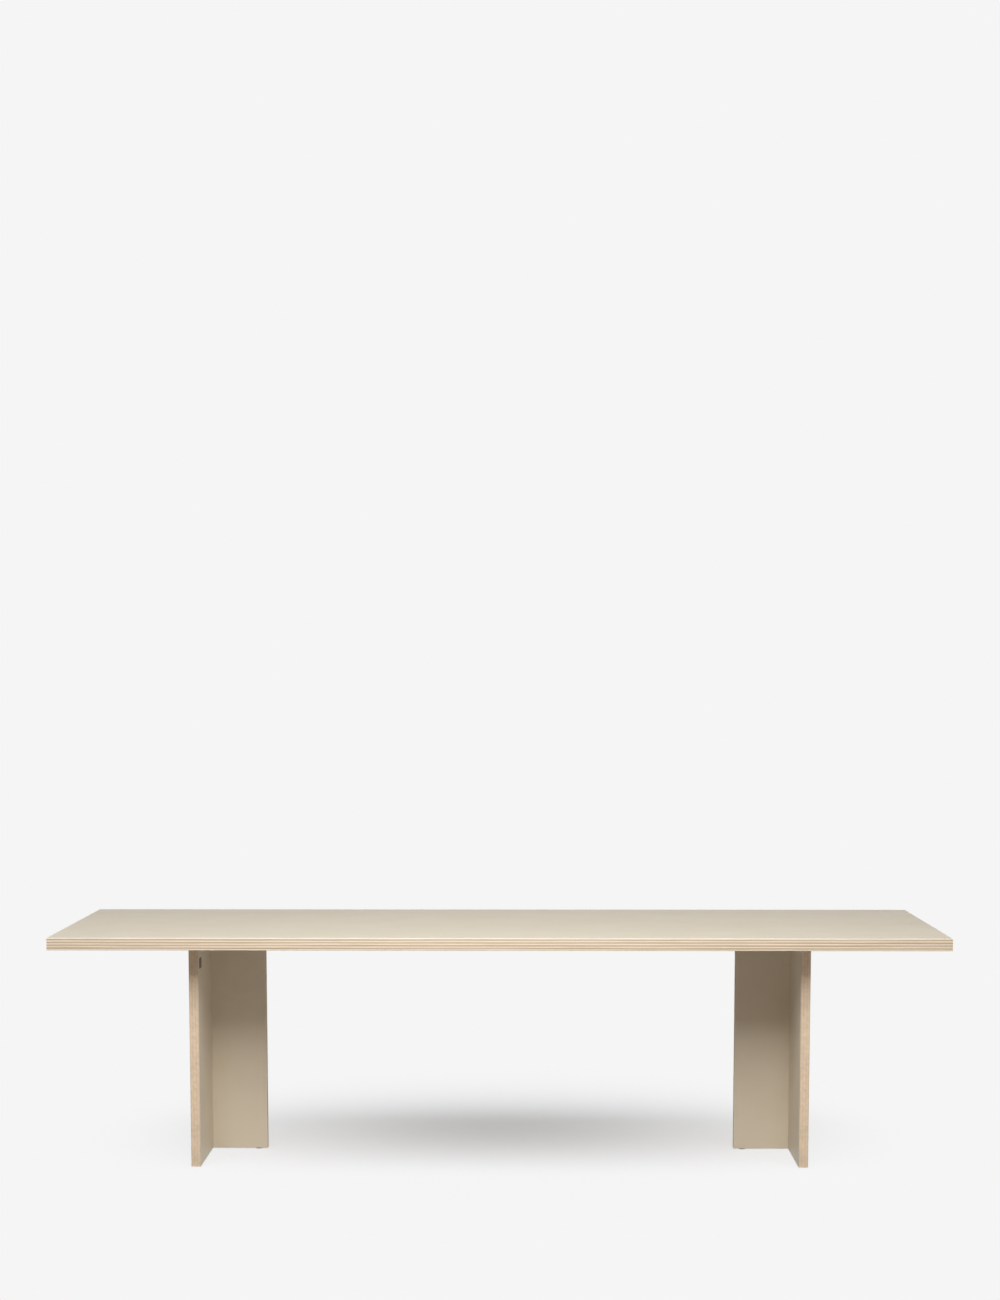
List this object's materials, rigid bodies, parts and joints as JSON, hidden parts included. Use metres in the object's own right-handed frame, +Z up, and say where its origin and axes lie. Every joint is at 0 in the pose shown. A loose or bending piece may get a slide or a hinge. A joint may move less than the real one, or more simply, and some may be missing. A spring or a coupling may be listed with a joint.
{
  "type": "panel table",
  "caption": "Long rectangular table with a laminated plywood top, bare striped ply edges and panel legs that are T-shaped in plan.",
  "frame": {"origin": "on the floor, below the middle of the top", "axes": "+X along the length of the table, +Y across it towards the rear, +Z up"},
  "size_m": [2.8, 1, 0.75],
  "materials": {
    "plywood": "sanded and clear-sealed birch plywood, plies showing on the edges",
    "cream_laminate": "matt high-pressure laminate, warm cream",
    "backing_laminate": "matt balancing laminate, warm cream",
    "beech": "raw fluted beech dowel",
    "zinc_steel": "zinc-plated steel, satin",
    "brass": "turned brass",
    "glide_plastic": "moulded nylon, natural off-white",
    "badge_metal": "bronze anodised, blank"
  },
  "bodies": {
    "root": {"top_core": "plywood", "top_laminate": "cream_laminate", "underside_laminate": "backing_laminate", "left_fin_core": "plywood", "left_fin_outer_laminate": "cream_laminate", "left_fin_inner_laminate_front": "cream_laminate", "left_fin_inner_laminate_rear": "cream_laminate", "left_stem_core": "plywood", "left_stem_front_laminate": "cream_laminate", "left_stem_rear_laminate": "cream_laminate", "left_dowel_1": "beech", "left_dowel_2": "beech", "left_dowel_3": "beech", "left_mounting_plate": "zinc_steel", "left_plate_screw_1": "zinc_steel", "left_plate_screw_2": "zinc_steel", "left_plate_screw_3": "zinc_steel", "left_plate_screw_4": "zinc_steel", "left_plate_screw_5": "zinc_steel", "left_bolt_1": "zinc_steel", "left_bolt_2": "zinc_steel", "left_bolt_3": "zinc_steel", "left_bolt_4": "zinc_steel", "left_insert_1": "brass", "left_insert_2": "brass", "left_insert_3": "brass", "left_insert_4": "brass", "left_glide_front": "glide_plastic", "left_glide_rear": "glide_plastic", "left_glide_inner": "glide_plastic", "right_fin_core": "plywood", "right_fin_outer_laminate": "cream_laminate", "right_fin_inner_laminate_front": "cream_laminate", "right_fin_inner_laminate_rear": "cream_laminate", "right_stem_core": "plywood", "right_stem_front_laminate": "cream_laminate", "right_stem_rear_laminate": "cream_laminate", "right_dowel_1": "beech", "right_dowel_2": "beech", "right_dowel_3": "beech", "right_mounting_plate": "zinc_steel", "right_plate_screw_1": "zinc_steel", "right_plate_screw_2": "zinc_steel", "right_plate_screw_3": "zinc_steel", "right_plate_screw_4": "zinc_steel", "right_plate_screw_5": "zinc_steel", "right_bolt_1": "zinc_steel", "right_bolt_2": "zinc_steel", "right_bolt_3": "zinc_steel", "right_bolt_4": "zinc_steel", "right_insert_1": "brass", "right_insert_2": "brass", "right_insert_3": "brass", "right_insert_4": "brass", "right_glide_front": "glide_plastic", "right_glide_rear": "glide_plastic", "right_glide_inner": "glide_plastic", "blank_badge": "badge_metal"}
  },
  "joints": []
}
